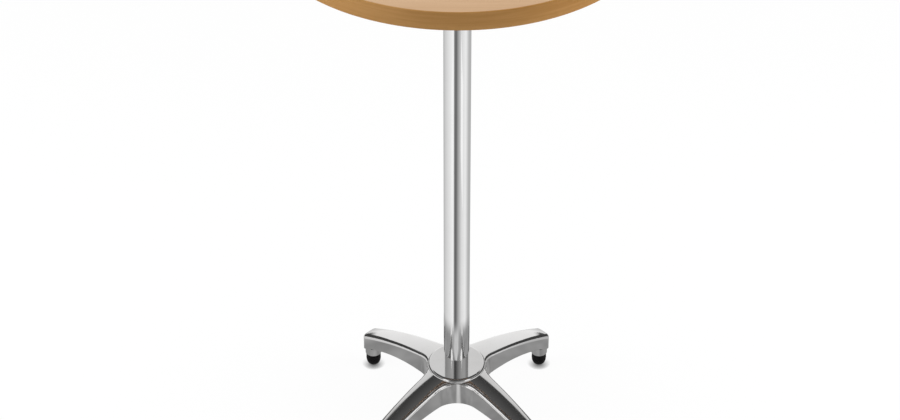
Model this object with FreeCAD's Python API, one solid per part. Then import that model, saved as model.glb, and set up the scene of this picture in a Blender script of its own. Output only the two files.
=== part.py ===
import FreeCAD, Part
import math
import os

# Pub table for standing drinkers: a round laminated top, a bright tubular column and a four-arm cast
# star base on levelling feet. Millimetres, +Z up, origin on the floor under the column, arms on the
# diagonals, -Y towards the front.

# Overall sizes
TABLE_HEIGHT = 1050.0
TOP_DIAMETER = 600.0
TOP_THICKNESS = 30.0
COLUMN_DIAMETER = 45.0
COLUMN_WALL = 2.0

# Layers of the top
LAMINATE_THICKNESS = 0.8
BAND_THICKNESS = 2.0
BAND_CORNER_RADIUS = 1.2
BAND_SEAM_GAP = 0.3
BAND_SEAM_ANGLE = 90.0

# Star base: heights above the floor and reaches from the column's axis
ARM_NAMES = ("rear_right", "rear_left", "front_left", "front_right")
FIRST_ARM_ANGLE = 45.0
HUB_TOP = 136.0
HUB_DEPTH = 53.0
HUB_CORNER_RADIUS = 46.5
PLATEAU_RADIUS = 51.0
PLATEAU_HEIGHT = 8.0
PLATEAU_EDGE_RADIUS = 5.0
PLATEAU_FILLET_RADIUS = 2.5
ARM_ROOT_SET_OUT = 7.0
ARM_TIP_REACH = 229.0
ARM_ROOT_WIDTH = 47.0
ARM_TIP_WIDTH = 32.5
ARM_TIP_TOP = 66.0
ARM_TIP_BOTTOM = 34.6
ARM_TOP_SAGITTA = 6.0
ARM_CROWN_RISE = 2.4
ARM_EDGE_RADIUS = 7.0
ARM_TIP_CORNER_RADIUS = 7.5
ARM_LOWER_EDGE_RADIUS = 1.5

# Hollow underside of the casting
CASTING_WALL = 5.0
CASTING_ROOF = 6.0
CASTING_RIB = 4.0
ARM_CELL_COUNT = 3
ARM_CELL_CORNER_RADIUS = 4.0
HUB_CELL_WALL = 11.0
ROD_BOSS_MARGIN = 2.0
ROD_BOSS_RECESS = 15.5

# Levelling feet
FOOT_SETBACK = 12.0
FOOT_BOSS_RADIUS = 14.6
FOOT_BOSS_BOTTOM = 25.5
FOOT_BOSS_CHAMFER = 1.0
FOOT_BOSS_FLARE = 7.0
FOOT_BOSS_FLARE_RISE = 6.5
PAD_GAP = 0.4
PAD_RADIUS = 13.5
PAD_FLAT_RADIUS = 6.0
PAD_SKIRT_HEIGHT = 11.5
PAD_TOP_CHAMFER = 1.0
STUD_DIAMETER = 8.0
STUD_COVER = 10.0
STUD_HEAD_RADIUS = 8.5
STUD_HEAD_THICKNESS = 4.0
STUD_HEAD_BOTTOM = 6.5
STUD_POINT = 1.0

# Spider that carries the top
SPIDER_HUB_RADIUS = 34.0
SPIDER_HUB_THICKNESS = 16.0
SPIDER_ARM_THICKNESS = 8.0
SPIDER_ARM_REACH = 178.0
SPIDER_ARM_ROOT_WIDTH = 40.0
SPIDER_ARM_TIP_WIDTH = 26.0
SPIDER_GUSSET_REACH = 84.0
SPIDER_GUSSET_THICKNESS = 6.0
SPIDER_POCKET_DEPTH = 4.5
SPIDER_WALL = 5.0
SPIGOT_TOP_LENGTH = 20.0
SPIGOT_BASE_LENGTH = 14.0
SPIGOT_CHAMFER = 1.5
SCREW_GUSSET_GAP = 12.0
SCREW_END_GAP = 18.0

# Fasteners
ROD_DIAMETER = 10.0
ROD_CHAMFER = 1.0
ROD_END_STAND_OUT = 2.0
NUT_SIDES = 6
NUT_FLATS = 17.0
NUT_HEIGHT = 8.0
NUT_BEVEL_ANGLE = 30.0
SMALL_WASHER_MARGIN = 1.5
SMALL_WASHER_THICKNESS = 2.0
PLATE_WASHER_RADIUS = 15.0
PLATE_WASHER_THICKNESS = 3.0
SPRING_WASHER_RADIUS = 9.0
SPRING_WASHER_THICKNESS = 2.6
SPRING_WASHER_SLOT = 1.4
SPRING_WASHER_SLOT_TILT = 20.0
SCREW_DIAMETER = 4.5
SCREW_LENGTH = 25.0
SCREW_HEAD_DIAMETER = 9.0
SCREW_HEAD_HEIGHT = 2.7
SCREW_POINT = 5.0

# Clearances
SPIGOT_CLEARANCE = 0.15
ROD_CLEARANCE = 0.5
STUD_CLEARANCE = 0.05
NUT_POCKET_CLEARANCE = 2.2
SCREW_HOLE_CLEARANCE = 0.25

# Sizes that follow from the ones above
TOP_RADIUS = TOP_DIAMETER / 2
BOARD_RADIUS = TOP_RADIUS - BAND_THICKNESS
TOP_UNDERSIDE = TABLE_HEIGHT - TOP_THICKNESS
CORE_BOTTOM = TOP_UNDERSIDE + LAMINATE_THICKNESS
CORE_TOP = TABLE_HEIGHT - LAMINATE_THICKNESS
HUB_BOTTOM = HUB_TOP - HUB_DEPTH
HUB_CELL_RADIUS = PLATEAU_RADIUS - HUB_CELL_WALL
ARM_ROOT_REACH = PLATEAU_RADIUS + ARM_ROOT_SET_OUT
ARM_ROOT_TOP = HUB_TOP - PLATEAU_HEIGHT
ARM_ARCH_LENGTH = ARM_TIP_REACH - ARM_ROOT_REACH
ARM_ARCH_DROP = HUB_BOTTOM - ARM_TIP_BOTTOM
ARM_ARCH_RADIUS = (ARM_ARCH_LENGTH ** 2 + ARM_ARCH_DROP ** 2) / (2 * ARM_ARCH_DROP)
COLUMN_RADIUS = COLUMN_DIAMETER / 2
COLUMN_BORE_RADIUS = COLUMN_RADIUS - COLUMN_WALL
COLUMN_TOP = TOP_UNDERSIDE - SPIDER_HUB_THICKNESS
SPIGOT_RADIUS = COLUMN_BORE_RADIUS - SPIGOT_CLEARANCE
ROD_RADIUS = ROD_DIAMETER / 2
FOOT_CIRCLE_RADIUS = ARM_TIP_REACH - FOOT_SETBACK
FOOT_BOSS_FLARE_HEIGHT = ARM_TIP_BOTTOM + FOOT_BOSS_FLARE_RISE
STUD_RADIUS = STUD_DIAMETER / 2
STUD_TOP = ARM_TIP_TOP - STUD_COVER
STUD_HOLE_RADIUS = STUD_RADIUS + STUD_CLEARANCE
PAD_TOP = FOOT_BOSS_BOTTOM - PAD_GAP
SCREW_RADIUS = SCREW_DIAMETER / 2
SCREW_HEAD_RADIUS = SCREW_HEAD_DIAMETER / 2
SCREW_BOTTOM = TOP_UNDERSIDE - SPIDER_ARM_THICKNESS
SCREW_REACHES = (SPIDER_GUSSET_REACH + SCREW_GUSSET_GAP, SPIDER_ARM_REACH - SCREW_END_GAP)
NUT_CORNER_RADIUS = NUT_FLATS / 2 / math.cos(math.pi / NUT_SIDES)
SMALL_WASHER_RADIUS = NUT_FLATS / 2 + SMALL_WASHER_MARGIN
ROD_BOSS_RADIUS = PLATE_WASHER_RADIUS + ROD_BOSS_MARGIN
ROD_BOSS_BOTTOM = HUB_BOTTOM + ROD_BOSS_RECESS
ROD_WELL_RADIUS = NUT_CORNER_RADIUS + NUT_POCKET_CLEARANCE
ROD_WELL_DEPTH = SMALL_WASHER_THICKNESS + NUT_HEIGHT + 2 * ROD_END_STAND_OUT
ROD_TOP = TOP_UNDERSIDE - ROD_END_STAND_OUT
PLATE_WASHER_BOTTOM = ROD_BOSS_BOTTOM - PLATE_WASHER_THICKNESS
SPRING_WASHER_BOTTOM = PLATE_WASHER_BOTTOM - SPRING_WASHER_THICKNESS
LOWER_NUT_BOTTOM = SPRING_WASHER_BOTTOM - NUT_HEIGHT
ROD_BOTTOM = LOWER_NUT_BOTTOM - ROD_END_STAND_OUT
ARM_TAPER = (ARM_ROOT_WIDTH - ARM_TIP_WIDTH) / 2 / (ARM_TIP_REACH - ARM_ROOT_REACH)
ARM_AXIS_HALF_WIDTH = ARM_ROOT_WIDTH / 2 + ARM_TAPER * ARM_ROOT_REACH
ARM_COUNT = len(ARM_NAMES)
ARM_STEP_ANGLE = 360.0 / ARM_COUNT

# How a face's normal leans: up or down on the top and underside of an arm, level on its walls
FACE_LEAN = 0.5
WALL_LEAN = 0.05
SAME_PLACE = 0.01
DIAGONAL = math.sqrt(0.5)

UP = FreeCAD.Vector(0, 0, 1)
ORIGIN = FreeCAD.Vector(0, 0, 0)


def point(x, y, z=0.0):
    return FreeCAD.Vector(x, y, z)


def disc(radius, bottom, top, x=0.0):
    """Upright cylinder between two heights, on the axis or out along +X."""
    return Part.makeCylinder(radius, top - bottom, point(x, 0, bottom))


def ring(outer, inner, bottom, top):
    return disc(outer, bottom, top).cut(disc(inner, bottom, top))


def line(start, end):
    return Part.LineSegment(start, end).toShape()


def arc(start, middle, end):
    return Part.Arc(start, middle, end).toShape()


def face_of(edges):
    return Part.Face(Part.Wire(edges))


def outline_face(points):
    return Part.Face(Part.makePolygon(points + points[:1]))


def turned(edges):
    """Revolve a closed profile drawn in the XZ plane about the Z axis."""
    return face_of(edges).revolve(ORIGIN, UP, 360)


def turned_outline(profile):
    return outline_face([point(r, 0, z) for r, z in profile]).revolve(ORIGIN, UP, 360)


def place_arm(shape, index):
    """Turn a shape modelled along +X to the place of one arm."""
    placed = shape.copy()
    placed.rotate(ORIGIN, UP, FIRST_ARM_ANGLE + index * ARM_STEP_ANGLE)
    return placed


def on_every_arm(shape):
    return [place_arm(shape, index) for index in range(ARM_COUNT)]


def arm_half_width(reach):
    return ARM_AXIS_HALF_WIDTH - ARM_TAPER * reach


def circle_centre(start, end, sagitta):
    """Centre and radius of the arc over a chord in the XZ plane that bulges upwards by its sagitta."""
    chord = end - start
    radius = (chord.Length ** 2 / 4 + sagitta ** 2) / (2 * sagitta)
    outward = point(-chord.z, 0, chord.x).normalize()
    return (start + end) * 0.5 - outward * (radius - sagitta), radius


def quarter_plan():
    """Plan of one arm with half of the rounded corner on each side of it, as a face at floor level."""
    across = point(ARM_TAPER, 1)
    middle = (HUB_CORNER_RADIUS * across.Length + ARM_AXIS_HALF_WIDTH) / (1 + ARM_TAPER)
    centre = point(middle, middle)
    start = centre - point(1, 1).normalize() * HUB_CORNER_RADIUS
    tangent = centre - across.normalize() * HUB_CORNER_RADIUS
    bulge = centre + ((start + tangent) * 0.5 - centre).normalize() * HUB_CORNER_RADIUS
    tip = point(ARM_TIP_REACH, arm_half_width(ARM_TIP_REACH))

    def mirrored(p):
        return point(p.x, -p.y)

    return face_of([
        line(ORIGIN, start),
        arc(start, bulge, tangent),
        line(tangent, tip),
        line(tip, mirrored(tip)),
        line(mirrored(tip), mirrored(tangent)),
        arc(mirrored(tangent), mirrored(bulge), mirrored(start)),
        line(mirrored(start), ORIGIN),
    ])


def under_arm_top(centre, radius):
    """Everything under the crowned, drooping top of one arm: a flat arc swept round the droop's centre."""
    half_span = ARM_ROOT_WIDTH
    half_root = ARM_ROOT_WIDTH / 2
    crown_radius = (half_root ** 2 + ARM_CROWN_RISE ** 2) / (2 * ARM_CROWN_RISE)
    side_drop = crown_radius - math.sqrt(crown_radius ** 2 - half_span ** 2)
    top = centre.z + radius + ARM_CROWN_RISE
    floor = top - HUB_TOP
    section = face_of([
        arc(point(centre.x, -half_span, top - side_drop), point(centre.x, 0, top),
            point(centre.x, half_span, top - side_drop)),
        line(point(centre.x, half_span, top - side_drop), point(centre.x, half_span, floor)),
        line(point(centre.x, half_span, floor), point(centre.x, -half_span, floor)),
        line(point(centre.x, -half_span, floor), point(centre.x, -half_span, top - side_drop)),
    ])
    across = point(0, 1, 0)
    first = math.degrees(math.asin((-ARM_ROOT_WIDTH - centre.x) / radius))
    last = math.degrees(math.asin((ARM_TIP_REACH + ARM_ROOT_WIDTH - centre.x) / radius))
    section.rotate(centre, across, first)
    return section.revolve(centre, across, last - first)


def below_arch():
    """The open space under one arm: level below the hub, then falling to the tip in one arc."""
    half = ARM_ARCH_LENGTH / 2
    sag = ARM_ARCH_RADIUS - math.sqrt(ARM_ARCH_RADIUS ** 2 - half ** 2)
    end = ARM_TIP_REACH + ARM_ROOT_WIDTH
    level = point(ARM_ROOT_REACH, 0, HUB_BOTTOM)
    tip = point(ARM_TIP_REACH, 0, ARM_TIP_BOTTOM)
    profile = face_of([
        line(point(-ARM_ROOT_REACH, 0, 0), point(-ARM_ROOT_REACH, 0, HUB_BOTTOM)),
        line(point(-ARM_ROOT_REACH, 0, HUB_BOTTOM), level),
        arc(level, point(ARM_ROOT_REACH + half, 0, HUB_BOTTOM - sag), tip),
        line(tip, point(end, 0, ARM_TIP_BOTTOM)),
        line(point(end, 0, ARM_TIP_BOTTOM), point(end, 0, 0)),
        line(point(end, 0, 0), point(-ARM_ROOT_REACH, 0, 0)),
    ])
    profile.translate(point(0, -ARM_ROOT_WIDTH, 0))
    return profile.extrude(point(0, 2 * ARM_ROOT_WIDTH, 0))


def rim_edges(arm, side):
    """Edges where an arm's side walls meet its top (side +1) or its underside (side -1)."""
    def lean(face):
        return face.normalAt(*face.Surface.parameter(face.CenterOfMass)).z

    rims = []
    for edge in arm.Edges:
        leans = [lean(face) for face in arm.ancestorsOfType(edge, Part.Face)]
        middle = edge.CenterOfMass
        inside_hub = abs(abs(middle.y) - middle.x) < SAME_PLACE
        meets_face = max(side * z for z in leans) > FACE_LEAN
        meets_wall = min(abs(z) for z in leans) < WALL_LEAN
        if meets_face and meets_wall and not inside_hub:
            rims.append(edge)
    return rims


def upright_edges(block):
    return [edge for edge in block.Edges if edge.BoundBox.ZLength > HUB_TOP - SAME_PLACE]


def plateau():
    """Round seat of the column, with a rounded rim and a hollow fillet down to the arms."""
    skirt = PLATEAU_RADIUS + PLATEAU_FILLET_RADIUS
    neck = ARM_ROOT_TOP + PLATEAU_FILLET_RADIUS
    rim = HUB_TOP - PLATEAU_EDGE_RADIUS
    inner = PLATEAU_RADIUS - PLATEAU_EDGE_RADIUS
    foot = ARM_ROOT_TOP - 2 * ARM_EDGE_RADIUS
    return turned([
        line(point(0, 0, foot), point(skirt, 0, foot)),
        line(point(skirt, 0, foot), point(skirt, 0, ARM_ROOT_TOP)),
        arc(point(skirt, 0, ARM_ROOT_TOP),
            point(skirt - PLATEAU_FILLET_RADIUS * DIAGONAL, 0, neck - PLATEAU_FILLET_RADIUS * DIAGONAL),
            point(PLATEAU_RADIUS, 0, neck)),
        line(point(PLATEAU_RADIUS, 0, neck), point(PLATEAU_RADIUS, 0, rim)),
        arc(point(PLATEAU_RADIUS, 0, rim),
            point(inner + PLATEAU_EDGE_RADIUS * DIAGONAL, 0, rim + PLATEAU_EDGE_RADIUS * DIAGONAL),
            point(inner, 0, HUB_TOP)),
        line(point(inner, 0, HUB_TOP), point(0, 0, HUB_TOP)),
        line(point(0, 0, HUB_TOP), point(0, 0, foot)),
    ])


def foot_boss():
    """Round boss under an arm's tip that holds the foot, flaring into the arm."""
    flare = FOOT_BOSS_RADIUS + FOOT_BOSS_FLARE
    roof = FOOT_BOSS_FLARE_HEIGHT + FOOT_BOSS_FLARE
    rim = FOOT_BOSS_RADIUS - FOOT_BOSS_CHAMFER
    wall_bottom = point(FOOT_BOSS_RADIUS, 0, FOOT_BOSS_BOTTOM + FOOT_BOSS_CHAMFER)
    wall_top = point(FOOT_BOSS_RADIUS, 0, FOOT_BOSS_FLARE_HEIGHT)
    bulge = FOOT_BOSS_FLARE * DIAGONAL
    boss = turned([
        line(point(0, 0, FOOT_BOSS_BOTTOM), point(rim, 0, FOOT_BOSS_BOTTOM)),
        line(point(rim, 0, FOOT_BOSS_BOTTOM), wall_bottom),
        line(wall_bottom, wall_top),
        arc(wall_top, point(flare - bulge, 0, FOOT_BOSS_FLARE_HEIGHT + bulge), point(flare, 0, roof)),
        line(point(flare, 0, roof), point(0, 0, roof)),
        line(point(0, 0, roof), point(0, 0, FOOT_BOSS_BOTTOM)),
    ])
    boss.translate(point(FOOT_CIRCLE_RADIUS, 0))
    return boss


def quarter_star(centre, radius):
    """One arm with its share of the hub: edges rounded, plateau and foot boss trimmed to its plan."""
    block = quarter_plan().extrude(UP * HUB_TOP)
    tip_corners = [edge for edge in upright_edges(block) if edge.CenterOfMass.x > FOOT_CIRCLE_RADIUS]
    block = block.makeFillet(ARM_TIP_CORNER_RADIUS, tip_corners)
    arm = block.common(under_arm_top(centre, radius)).cut(below_arch()).Solids[0]
    arm = arm.makeFillet(ARM_EDGE_RADIUS, rim_edges(arm, 1))
    arm = arm.makeFillet(ARM_LOWER_EDGE_RADIUS, rim_edges(arm, -1))
    return arm.fuse([plateau().common(block), foot_boss().common(block)])


def tapered_plan(start, end, half_width):
    """Plan of a straight-sided bar along +X whose half width follows a rule."""
    return outline_face([point(start, -half_width(start)), point(end, -half_width(end)),
                         point(end, half_width(end)), point(start, half_width(start))])


def arm_cells(centre, radius):
    """Hollows under one arm, with cross ribs left between them."""
    first = HUB_CELL_RADIUS + CASTING_RIB
    last = FOOT_CIRCLE_RADIUS - FOOT_BOSS_RADIUS - FOOT_BOSS_FLARE
    length = (last - first - (ARM_CELL_COUNT - 1) * CASTING_RIB) / ARM_CELL_COUNT
    under_roof = under_arm_top(centre, radius - CASTING_ROOF)
    cells = []
    for index in range(ARM_CELL_COUNT):
        start = first + index * (length + CASTING_RIB)
        plan = tapered_plan(start, start + length, lambda reach: arm_half_width(reach) - CASTING_WALL)
        block = plan.extrude(UP * HUB_TOP)
        cells.append(block.makeFillet(ARM_CELL_CORNER_RADIUS, upright_edges(block)).common(under_roof))
    return cells


def hub_cell():
    """Hollow under the hub, round the boss of the tie rod, with ribs between the arms."""
    roof = HUB_TOP - CASTING_ROOF
    rib = Part.makeBox(HUB_CELL_RADIUS, CASTING_RIB, roof - ROD_BOSS_BOTTOM,
                       point(0, -CASTING_RIB / 2, ROD_BOSS_BOTTOM))
    ribs = []
    for index in range(ARM_COUNT):
        placed = rib.copy()
        placed.rotate(ORIGIN, UP, index * ARM_STEP_ANGLE)
        ribs.append(placed)
    return disc(HUB_CELL_RADIUS, 0, roof).cut(ribs + [disc(ROD_BOSS_RADIUS, ROD_BOSS_BOTTOM, HUB_TOP)])


def spigot(shoulder, length):
    """Round spigot that stands up from a shoulder into the column, its leading edge chamfered."""
    end = shoulder + length
    chamfer = math.copysign(SPIGOT_CHAMFER, length)
    return turned_outline([(0, shoulder), (SPIGOT_RADIUS, shoulder), (SPIGOT_RADIUS, end - chamfer),
                           (SPIGOT_RADIUS - SPIGOT_CHAMFER, end), (0, end)])


def build_base():
    centre, radius = circle_centre(point(ARM_ROOT_REACH, 0, ARM_ROOT_TOP),
                                   point(ARM_TIP_REACH, 0, ARM_TIP_TOP), ARM_TOP_SAGITTA)
    quarters = on_every_arm(quarter_star(centre, radius))
    star = quarters[0].fuse(quarters[1:] + [spigot(HUB_TOP, SPIGOT_BASE_LENGTH)]).removeSplitter()
    hollows = [hub_cell(), disc(ROD_RADIUS + ROD_CLEARANCE, 0, TABLE_HEIGHT)]
    for cell in arm_cells(centre, radius):
        hollows += on_every_arm(cell)
    stud_hole = disc(STUD_HOLE_RADIUS, 0, STUD_TOP + STUD_POINT, FOOT_CIRCLE_RADIUS)
    return star.cut(hollows + on_every_arm(stud_hole))


def spider_half_width(reach):
    share = (reach - SPIDER_HUB_RADIUS) / (SPIDER_ARM_REACH - SPIDER_HUB_RADIUS)
    return (SPIDER_ARM_ROOT_WIDTH + share * (SPIDER_ARM_TIP_WIDTH - SPIDER_ARM_ROOT_WIDTH)) / 2


def spider_arm():
    """One flat arm of the spider with a round end and a gusset against the hub."""
    tip = SPIDER_ARM_REACH - SPIDER_ARM_TIP_WIDTH / 2
    bar = tapered_plan(0, tip, spider_half_width).extrude(UP * SPIDER_ARM_THICKNESS)
    bar.translate(UP * SCREW_BOTTOM)
    end = disc(spider_half_width(tip), SCREW_BOTTOM, TOP_UNDERSIDE, tip)
    gusset = outline_face([point(0, 0, COLUMN_TOP), point(SPIDER_HUB_RADIUS, 0, COLUMN_TOP),
                           point(SPIDER_GUSSET_REACH, 0, SCREW_BOTTOM), point(0, 0, SCREW_BOTTOM)])
    gusset.translate(point(0, -SPIDER_GUSSET_THICKNESS / 2))
    return bar.fuse([end, gusset.extrude(point(0, SPIDER_GUSSET_THICKNESS, 0))])


def spider_pockets():
    """Shallow pockets in the upper face of one arm, between the lands round its screws."""
    land = SCREW_HEAD_RADIUS + SPIDER_WALL
    starts = [SPIDER_HUB_RADIUS] + [reach + land for reach in SCREW_REACHES[:-1]]
    pockets = []
    for start, screw in zip(starts, SCREW_REACHES):
        plan = tapered_plan(start, screw - land, lambda reach: spider_half_width(reach) - SPIDER_WALL)
        pocket = plan.extrude(UP * SPIDER_POCKET_DEPTH)
        pocket.translate(UP * (TOP_UNDERSIDE - SPIDER_POCKET_DEPTH))
        pockets.append(pocket)
    return pockets


def build_spider():
    arms = on_every_arm(spider_arm())
    body = disc(SPIDER_HUB_RADIUS, COLUMN_TOP, TOP_UNDERSIDE)
    body = body.fuse(arms + [spigot(COLUMN_TOP, -SPIGOT_TOP_LENGTH)]).removeSplitter()
    cuts = [disc(ROD_RADIUS + ROD_CLEARANCE, 0, TABLE_HEIGHT),
            disc(ROD_WELL_RADIUS, TOP_UNDERSIDE - ROD_WELL_DEPTH, TABLE_HEIGHT)]
    for pocket in spider_pockets():
        cuts += on_every_arm(pocket)
    for reach in SCREW_REACHES:
        cuts += on_every_arm(screw(reach))
        cuts += on_every_arm(disc(SCREW_RADIUS + SCREW_HOLE_CLEARANCE, SCREW_BOTTOM, TABLE_HEIGHT, reach))
    return body.cut(cuts)


def screw(reach):
    """Countersunk wood screw, driven upwards through the spider at one reach."""
    neck = SCREW_BOTTOM + SCREW_HEAD_HEIGHT
    tip = SCREW_BOTTOM + SCREW_LENGTH
    body = turned_outline([(0, SCREW_BOTTOM), (SCREW_HEAD_RADIUS, SCREW_BOTTOM), (SCREW_RADIUS, neck),
                           (SCREW_RADIUS, tip - SCREW_POINT), (0, tip)])
    body.translate(point(reach, 0))
    return body


def build_screws():
    return [placed for reach in SCREW_REACHES for placed in on_every_arm(screw(reach))]


def nut(bottom):
    """Hexagon nut with both ends turned down at the corners."""
    bevel = (NUT_CORNER_RADIUS - NUT_FLATS / 2) * math.tan(math.radians(NUT_BEVEL_ANGLE))
    top = bottom + NUT_HEIGHT
    corners = []
    for side in range(NUT_SIDES):
        angle = 2 * math.pi * side / NUT_SIDES
        corner = point(math.cos(angle), math.sin(angle)) * NUT_CORNER_RADIUS
        corners.append(corner + UP * bottom)
    prism = outline_face(corners).extrude(UP * NUT_HEIGHT)
    turning = turned_outline([(0, bottom), (NUT_FLATS / 2, bottom), (NUT_CORNER_RADIUS, bottom + bevel),
                              (NUT_CORNER_RADIUS, top - bevel), (NUT_FLATS / 2, top), (0, top)])
    return prism.common(turning).cut(disc(ROD_RADIUS, bottom, top))


def spring_washer():
    """Split ring, its slot slanted."""
    top = SPRING_WASHER_BOTTOM + SPRING_WASHER_THICKNESS
    washer = ring(SPRING_WASHER_RADIUS, ROD_RADIUS, SPRING_WASHER_BOTTOM, top)
    slot = Part.makeBox(SPRING_WASHER_RADIUS, SPRING_WASHER_SLOT, 2 * SPRING_WASHER_RADIUS,
                        point(0, -SPRING_WASHER_SLOT / 2, -SPRING_WASHER_RADIUS))
    slot.rotate(ORIGIN, point(1, 0), SPRING_WASHER_SLOT_TILT)
    slot.translate(UP * (SPRING_WASHER_BOTTOM + top) * 0.5)
    return washer.cut(slot)


def build_rod():
    inner = ROD_RADIUS - ROD_CHAMFER
    return turned_outline([(0, ROD_BOTTOM), (inner, ROD_BOTTOM), (ROD_RADIUS, ROD_BOTTOM + ROD_CHAMFER),
                           (ROD_RADIUS, ROD_TOP - ROD_CHAMFER), (inner, ROD_TOP), (0, ROD_TOP)])


def foot_stud():
    """Threaded stud with the flat head that is moulded into the pad."""
    head_top = STUD_HEAD_BOTTOM + STUD_HEAD_THICKNESS
    body = turned_outline([(0, STUD_HEAD_BOTTOM), (STUD_HEAD_RADIUS, STUD_HEAD_BOTTOM),
                           (STUD_HEAD_RADIUS, head_top), (STUD_RADIUS, head_top),
                           (STUD_RADIUS, STUD_TOP - STUD_POINT), (STUD_RADIUS - STUD_POINT, STUD_TOP),
                           (0, STUD_TOP)])
    body.translate(point(FOOT_CIRCLE_RADIUS, 0))
    return body


def foot_pad():
    """Bowl-shaped pad with a small flat to stand on, hollow round the head of its stud."""
    waist = PAD_TOP - PAD_SKIRT_HEIGHT
    bulge = point(PAD_FLAT_RADIUS + (PAD_RADIUS - PAD_FLAT_RADIUS) * DIAGONAL, 0, waist * (1 - DIAGONAL))
    skirt_top = point(PAD_RADIUS, 0, PAD_TOP - PAD_TOP_CHAMFER)
    rim = point(PAD_RADIUS - PAD_TOP_CHAMFER, 0, PAD_TOP)
    bowl = turned([
        line(point(0, 0, 0), point(PAD_FLAT_RADIUS, 0, 0)),
        arc(point(PAD_FLAT_RADIUS, 0, 0), bulge, point(PAD_RADIUS, 0, waist)),
        line(point(PAD_RADIUS, 0, waist), skirt_top),
        line(skirt_top, rim),
        line(rim, point(0, 0, PAD_TOP)),
        line(point(0, 0, PAD_TOP), point(0, 0, 0)),
    ])
    head_top = STUD_HEAD_BOTTOM + STUD_HEAD_THICKNESS + STUD_CLEARANCE
    head_room = disc(STUD_HEAD_RADIUS + STUD_CLEARANCE, STUD_HEAD_BOTTOM - STUD_CLEARANCE, head_top)
    pad = bowl.cut([head_room, disc(STUD_HOLE_RADIUS, head_top, PAD_TOP)])
    pad.translate(point(FOOT_CIRCLE_RADIUS, 0))
    return pad


def edge_band():
    """Strip round the rim, both outer corners rounded, with one butt seam."""
    inner = TOP_RADIUS - BAND_CORNER_RADIUS
    low = point(TOP_RADIUS, 0, TOP_UNDERSIDE + BAND_CORNER_RADIUS)
    high = point(TOP_RADIUS, 0, TABLE_HEIGHT - BAND_CORNER_RADIUS)
    bulge = BAND_CORNER_RADIUS * DIAGONAL
    profile = face_of([
        line(point(BOARD_RADIUS, 0, TOP_UNDERSIDE), point(inner, 0, TOP_UNDERSIDE)),
        arc(point(inner, 0, TOP_UNDERSIDE), point(inner + bulge, 0, low.z - bulge), low),
        line(low, high),
        arc(high, point(inner + bulge, 0, high.z + bulge), point(inner, 0, TABLE_HEIGHT)),
        line(point(inner, 0, TABLE_HEIGHT), point(BOARD_RADIUS, 0, TABLE_HEIGHT)),
        line(point(BOARD_RADIUS, 0, TABLE_HEIGHT), point(BOARD_RADIUS, 0, TOP_UNDERSIDE)),
    ])
    gap_angle = math.degrees(BAND_SEAM_GAP / TOP_RADIUS)
    profile.rotate(ORIGIN, UP, BAND_SEAM_ANGLE + gap_angle / 2)
    return profile.revolve(ORIGIN, UP, 360 - gap_angle)


def board_layer(bottom, top):
    """Round layer of the top, its start turned to the seam of the edge band."""
    layer = disc(BOARD_RADIUS, bottom, top)
    layer.rotate(ORIGIN, UP, BAND_SEAM_ANGLE)
    return layer


def build_nodes():
    """Every separate piece of the table, by its name."""
    screws = build_screws()
    well_floor = TOP_UNDERSIDE - ROD_WELL_DEPTH
    washer_top = well_floor + SMALL_WASHER_THICKNESS
    nodes = {
        "top_core": board_layer(CORE_BOTTOM, CORE_TOP).cut(screws),
        "top_laminate": board_layer(CORE_TOP, TABLE_HEIGHT),
        "underside_laminate": board_layer(TOP_UNDERSIDE, CORE_BOTTOM).cut(screws),
        "edge_band": edge_band(),
        "top_spider": build_spider(),
        "spider_screws": Part.makeCompound(screws),
        "rod_top_washer": ring(SMALL_WASHER_RADIUS, ROD_RADIUS, well_floor, washer_top),
        "rod_top_nut": nut(washer_top),
        "column_tube": ring(COLUMN_RADIUS, COLUMN_BORE_RADIUS, HUB_TOP, COLUMN_TOP),
        "tie_rod": build_rod(),
        "base_casting": build_base(),
        "rod_plate_washer": ring(PLATE_WASHER_RADIUS, ROD_RADIUS, PLATE_WASHER_BOTTOM, ROD_BOSS_BOTTOM),
        "rod_spring_washer": spring_washer(),
        "rod_bottom_nut": nut(LOWER_NUT_BOTTOM),
    }
    for index, name in enumerate(ARM_NAMES):
        nodes["foot_stud_" + name] = place_arm(foot_stud(), index)
        nodes["foot_pad_" + name] = place_arm(foot_pad(), index)
    return nodes


def main():
    os.makedirs("parts", exist_ok=True)
    for name, shape in build_nodes().items():
        print(name, shape.isValid(), len(shape.Solids), round(shape.Volume))
        shape.exportStep("parts/" + name + ".step")


main()
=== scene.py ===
"""Pub table in a white studio: finishes, dressed feet and fasteners, camera and light."""

import logging
import math
from dataclasses import dataclass
from enum import Enum
from functools import lru_cache
from typing import Callable, ClassVar

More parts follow.
